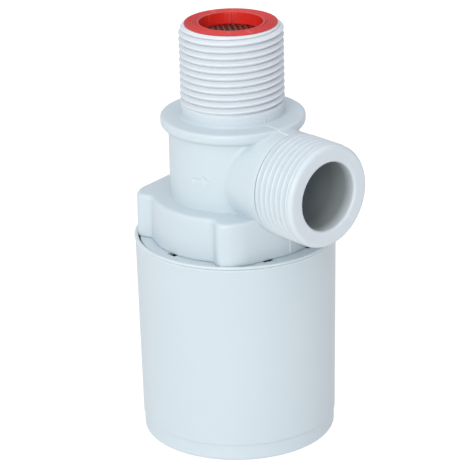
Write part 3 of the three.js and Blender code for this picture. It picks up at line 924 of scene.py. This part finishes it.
def pilot_cover():
    """Cup that screws into the skirt: thread outside, smooth cylinder inside, two ears below."""
    top, wall = COVER_HIGH[2], COVER_HIGH[0] - 0.9
    cylinder, ear = 15.2, 2.6
    cup = turned("cover_moulding", [
        (0, COVER_BOTTOM),
        (wall, COVER_BOTTOM, 0.8),
        (wall, top - 0.5),
        (0, top - 0.5),
    ])
    thread = threaded_rod("cover_thread", top - 7.1, top - 6.1, top, 0.35, COVER_THREAD)
    x, _, z = PIVOT
    ear_top = COVER_BOTTOM + 0.5
    outline = [(x - ear, ear_top), *arc(x, z, ear, 180, 360, 24), (x + ear, ear_top)]
    join(cup, thread, plate("ear", outline, 2.3, 3.9, 0.2), plate("ear", outline, -3.9, -2.3, 0.2))
    bore = turned("cylinder", [
        (0, COVER_FLOOR),
        (cylinder, COVER_FLOOR, 0.5),
        (cylinder, top - 0.5),
        (cylinder + 0.5, top),
        (22, top),
        (22, top + 4),
        (0, top + 4),
    ])
    pin_hole = across(rod("pin_hole", 1.1, -5, 5), x, z)
    cut(cup, bore, pin_hole, rod("nozzle_hole", 2.05, COVER_BOTTOM - 1, COVER_FLOOR + 1))
    for turn in (45, 135, 225, 315):
        slot = block("spanner_slot", (12.5, 19), (-2, 2), (COVER_BOTTOM - 1, COVER_BOTTOM + 1.4), 0.3)
        cut(cup, moved(slot, spin(turn)))
    stands_for(smoothed(cup), "pilot_cover")


def cover_gasket():
    low, high = box_mm("cover_gasket")
    corners = [(15.4, low[2], 0.2), (high[0], low[2], 0.2), (high[0], high[2], 0.2), (15.4, high[2], 0.2)]
    stands_for(smoothed(turned("gasket", corners)), "cover_gasket")


def piston():
    """Skirt with a seal groove, and a hollow boss that carries the seat disc."""
    low, high = box_mm("piston")
    bottom, disc_seat = low[2], high[2] - 1.2
    skirt, groove = 14.8, 13.2
    body = turned("piston_moulding", [
        (11, bottom, 0.2),
        (skirt, bottom, 0.4),
        (skirt, bottom + 2, 0.15),
        (groove, bottom + 2, 0.2),
        (groove, bottom + 4.2, 0.2),
        (skirt, bottom + 4.2, 0.15),
        (skirt, bottom + 6, 0.4),
        (11.5, bottom + 6, 0.5),
        (11.5, high[2], 0.25),
        (10.75, high[2], 0.1),
        (10.75, disc_seat, 0.1),
        (2.2, disc_seat, 0.1),
        (2.2, bottom + 4, 0.1),
        (11, bottom + 4, 0.6),
    ])
    stands_for(smoothed(body), "piston")


def piston_seal():
    """Cup seal with a springy lip, open towards the pressure below."""
    low, high = box_mm("piston_seal")
    outer, bottom, top = high[0], low[2], high[2]
    seal = turned("seal", [
        (13.35, bottom, 0.12),
        (13.75, bottom, 0.12),
        (14.05, bottom + 1, 0.15),
        (14.4, bottom + 1, 0.15),
        (outer - 0.35, bottom, 0.1),
        (outer, bottom, 0.12),
        (outer - 0.12, top, 0.3),
        (13.35, top, 0.12),
    ])
    stands_for(smoothed(seal), "piston_seal")


def seat_disc():
    low, high = box_mm("seat_disc")
    disc = turned("disc", [
        (2.2, low[2]),
        (high[0], low[2], 0.15),
        (high[0], high[2], 0.3),
        (2.2, high[2], 0.1),
    ])
    stands_for(smoothed(disc), "seat_disc")


def bleed_plug():
    """Turned plug with a fine hole and a driver slot."""
    low, high = box_mm("bleed_plug")
    neck = high[2] - 1.1
    plug = turned("plug", [
        (0.5, low[2], 0.1),
        (2, low[2], 0.3),
        (2, neck, 0.1),
        (5, neck, 0.15),
        (5, high[2], 0.4),
        (0.5, high[2], 0.2),
    ], 72)
    cut(plug, block("slot", (-3.2, 3.2), (-0.4, 0.4), (high[2] - 0.5, high[2] + 1)))
    stands_for(smoothed(plug), "bleed_plug")


def piston_spring():
    """Coil under the piston, which squeezes it as it comes down; it is built here at one length."""
    low, high = box_mm("piston_spring")
    wire, coil, turns, around = 0.5, 8, 3.5, 14
    angles = np.linspace(0, 2 * np.pi * turns, int(turns * 72) + 1)
    heights = np.linspace(low[2] + wire, high[2] - wire, len(angles))
    points, faces = [], []
    for angle, height in zip(angles, heights):
        for k in range(around):
            turn = 2 * math.pi * k / around
            radius, rise = coil + wire * math.cos(turn), wire * math.sin(turn)
            points.append((radius * math.cos(angle), radius * math.sin(angle), height + rise))
    for i in range(len(angles) - 1):
        for k in range(around):
            a, b = i * around + k, i * around + (k + 1) % around
            faces.append((a, a + around, b + around, b))
    last = (len(angles) - 1) * around
    faces += [tuple(range(around)), tuple(range(last + around - 1, last - 1, -1))]
    spring = smoothed(new_piece("spring_coil", points, faces), 50)
    stands_for(spring, "piston_spring")
    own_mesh(spring)


# ---------- pilot lever ----------

def across(piece, x, z):
    """Turns a piece made along Z to lie along Y, at x and height z."""
    return moved(piece, shift(x, 0, z) @ spin(-90, "X"))


def pilot_nozzle():
    """Hexagonal nozzle with a rounded tip and a fine hole."""
    top = box_mm("pilot_nozzle")[1][2]
    nozzle = turned("nozzle", [
        (0, NOZZLE_TIP),
        (1.2, NOZZLE_TIP, 0.2),
        (2, NOZZLE_TIP + 0.9, 0.1),
        (2, COVER_BOTTOM - 0.2),
        (1.9, COVER_BOTTOM - 0.2),
        (1.9, top, 0.2),
        (0, top),
    ], 64)
    hexagon = rod("hexagon", 2.9, NOZZLE_TIP + 0.9, COVER_BOTTOM - 0.1, 6)
    join(nozzle, hexagon)
    cut(nozzle, rod("hole", 0.6, NOZZLE_TIP - 1, COVER_FLOOR + 1, 32))
    stands_for(smoothed(nozzle), "pilot_nozzle")


def pilot_lever():
    slope = math.degrees(math.atan2(DRIVE[2] - PIVOT[2], DRIVE[0] - PIVOT[0]))
    outline = arc(PIVOT[0], PIVOT[2], 2.4, slope + 60, slope + 300, 24)
    outline += arc(DRIVE[0], DRIVE[2], 2.1, slope - 140, slope + 140, 24)
    lever = plate("lever", outline, -2, 2, 0.3)
    pad_low, pad_high = box_mm("pilot_pad")
    join(lever, rod("boss", 2.8, PIVOT[2] + 0.4, pad_low[2] + 0.5, 64, 0.2))
    cut(
        lever,
        rod("pocket", 1.95, pad_low[2] - 0.1, pad_high[2] + 1, 48),
        across(rod("pivot_hole", 1.05, -5, 5, 32), PIVOT[0], PIVOT[2]),
        across(rod("drive_hole", 1.1, -5, 5, 32), DRIVE[0], DRIVE[2]),
    )
    stands_for(smoothed(lever), "pilot_lever")


def pilot_pad():
    low, high = box_mm("pilot_pad")
    stands_for(smoothed(rod("pad", high[0], low[2], high[2], 48, 0.15)), "pilot_pad")


def lever_pin():
    pin = turned("pin", [
        (0, -4.9),
        (1.7, -4.9, 0.3),
        (1.7, -4, 0.08),
        (1, -4),
        (1, 4.05, 0.05),
        (0.7, 4.05),
        (0.7, 4.7),
        (1, 4.7, 0.05),
        (1, 5.2, 0.25),
        (0, 5.2),
    ], 48)
    stands_for(smoothed(across(pin, PIVOT[0], PIVOT[2])), "lever_pin")


def lever_pin_clip():
    x, _, z = PIVOT
    outline = arc(x, z, 2, 130, 410, 40) + arc(x, z, 0.85, 410, 130, 32)
    stands_for(smoothed(plate("clip", outline, 4.2, 4.6, 0.06)), "lever_pin_clip")


def drive_pin():
    low, high = box_mm("drive_pin")
    pin = rod("drive", 1, low[1], high[1], 48, 0.2)
    stands_for(smoothed(across(pin, DRIVE[0], DRIVE[2])), "drive_pin")


def float_yoke():
    """Bracket on the well's floor, with a slotted cheek on each side of the lever."""
    low, high = box_mm("float_yoke")
    foot, top = low[2], high[2]
    left, right = low[0], low[0] + 6.6
    cheek = [
        (left, foot),
        (right, foot),
        (right, top - 1.5),
        (right - 1.5, top),
        (left + 1.3, top),
        (left, top - 1.3),
    ]
    slot = arc(DRIVE[0] - 0.35, DRIVE[2], 1.15, 90, 270, 16)
    slot += arc(DRIVE[0] + 0.65, DRIVE[2], 1.15, -90, 90, 16)
    yoke = block("yoke", (left, high[0]), (-4.2, 4.2), (foot, foot + 1.8), 0.2)
    join(yoke, plate("cheek", cheek, 2.6, 4.2, 0.25), plate("cheek", cheek, -4.2, -2.6, 0.25))
    hole = moved(rod("hole", 1.5, foot - 1, foot + 3, 48), shift(SCREW_X, 0, 0))
    cut(yoke, plate("slot", slot, -5, 5), hole)
    stands_for(smoothed(yoke), "float_yoke")


def yoke_screw():
    """Pan-head screw with a cross recess and a coarse thread."""
    low, high = box_mm("yoke_screw")
    under = high[2] - 1.7
    screw = turned("screw", [
        (0, under - 0.4),
        (1.2, under - 0.4),
        (1.2, under),
        (2.6, under, 0.1),
        (2.6, high[2], 0.7),
        (0, high[2]),
    ], 64)
    shank = threaded_rod("shank", low[2] + 0.8, low[2] + 0.8, under + 0.3, 0.3, SCREW_THREAD, 32, 8)
    point = turned("point", [(0, low[2]), (1, low[2] + 0.9), (1, low[2] + 1.4), (0, low[2] + 1.4)], 32)
    join(screw, shank, point)
    for xs, ys in (((-1.4, 1.4), (-0.3, 0.3)), ((-0.3, 0.3), (-1.4, 1.4))):
        cut(screw, block("recess", xs, ys, (high[2] - 0.9, high[2] + 1)))
    stands_for(smoothed(moved(screw, shift(SCREW_X, 0, 0)), 30), "yoke_screw")


# ---------- stage ----------

# The camera's angles are in degrees, its distance and aim in metres, its lens and sensor in millimetres.
CAMERA_AZIMUTH = 48.2
CAMERA_ELEVATION = 21.61
CAMERA_ROLL = -1.3
CAMERA_DISTANCE = 0.6534
CAMERA_LENS = 194.6
CAMERA_SENSOR = 36
AIM_SIDE = -0.00015
AIM_HEIGHT = 0.05234

# The key light's place is in metres: to the camera's right, away from the camera, and up.
KEY_PLACE = (-0.85, -2.6, 1.25)
KEY_AIM = (0, 0, 0.055)
KEY_SIZE = 1.5
KEY_POWER = 46.5
KEY_COLOUR = (1.0, 0.985, 0.97)

SKY_LEFT = (0.86, 0.95, 1.0, 1)
SKY_RIGHT = (0.72, 0.71, 0.82, 1)
SKY_ABOVE = (1.0, 0.97, 0.98, 1)
SKY_STRENGTH_LOW, SKY_STRENGTH_HIGH = 0.38, 1.15
FLOOR_HALF_SIDE = 3
FLOOR_COLOUR = (0.33, 0.32, 0.31, 1)
FLOOR_GLOW_ON_PIECES, FLOOR_GLOW_SEEN = 0.59, 0.78


def floor():
    """A pale floor with its own soft glow, which lights the pieces less than it shows."""
    mesh = bpy.data.meshes.new("floor")
    size = FLOOR_HALF_SIDE
    corners = [(-size, -size, 0), (size, -size, 0), (size, size, 0), (-size, size, 0)]
    mesh.from_pydata(corners, [], [(0, 1, 2, 3)])
    ground = bpy.data.objects.new("floor", mesh)
    bpy.context.scene.collection.objects.link(ground)
    n = new_material("pale_floor")
    seen = n.add("ShaderNodeLightPath").outputs["Is Camera Ray"]
    glow = n.scaled(seen, 0.0, 1.0, FLOOR_GLOW_ON_PIECES, FLOOR_GLOW_SEEN)
    n.set(Base_Color=FLOOR_COLOUR, Roughness=0.8, Specular_IOR_Level=0.1)
    n.set(Emission_Color=(1, 1, 1, 1), Emission_Strength=glow)
    mesh.materials.append(n.owner)


def soft_light(name, place, target, size, power, colour):
    light = bpy.data.lights.new(name, "AREA")
    light.shape = "DISK"
    light.size = size
    light.energy = power
    light.color = colour
    lamp = bpy.data.objects.new(name, light)
    bpy.context.scene.collection.objects.link(lamp)
    lamp.location = place
    lamp.rotation_euler = (Vector(target) - Vector(place)).to_track_quat("-Z", "Y").to_euler()


def studio():
    """A soft sky, brighter from above and dimmer from the camera's right, and one large key light."""
    world = Nodes(bpy.data.worlds.new("studio"), "Generated")
    view = spin(CAMERA_AZIMUTH)
    up = world.axes()["Z"]
    sideways = world.add("ShaderNodeVectorMath", operation="DOT_PRODUCT")
    world.feed(world.place, sideways.inputs[0])
    world.feed(view @ Vector((1, 0, 0)), sideways.inputs[1])
    right = world.scaled(sideways.outputs["Value"], 0.0, 0.8, 0.0, 1.0)
    world.set(
        Color=world.mix(up, world.mix(right, SKY_LEFT, SKY_RIGHT), SKY_ABOVE),
        Strength=world.scaled(up, 0.0, 1.0, SKY_STRENGTH_LOW, SKY_STRENGTH_HIGH),
    )
    bpy.context.scene.world = world.owner
    soft_light("key", view @ Vector(KEY_PLACE), KEY_AIM, KEY_SIZE, KEY_POWER, KEY_COLOUR)
    bpy.context.scene.view_settings.view_transform = "Standard"


def camera():
    data = bpy.data.cameras.new("camera")
    data.lens = CAMERA_LENS
    data.sensor_width = CAMERA_SENSOR
    data.clip_start = 0.01
    eye = bpy.data.objects.new("camera", data)
    bpy.context.scene.collection.objects.link(eye)
    eye.matrix_world = (
        spin(CAMERA_AZIMUTH)
        @ Matrix.Translation((AIM_SIDE, 0, AIM_HEIGHT))
        @ spin(90 - CAMERA_ELEVATION, "X")
        @ spin(CAMERA_ROLL)
        @ Matrix.Translation((0, 0, CAMERA_DISTANCE))
    )
    bpy.context.scene.camera = eye


valve_body()
strainer_washer()
strainer_cloth()
float_shell()
float_base()
float_lid()
pilot_cover()
cover_gasket()
piston()
piston_seal()
seat_disc()
bleed_plug()
piston_spring()
pilot_nozzle()
pilot_lever()
pilot_pad()
lever_pin()
lever_pin_clip()
drive_pin()
float_yoke()
yoke_screw()
floor()
studio()
camera()
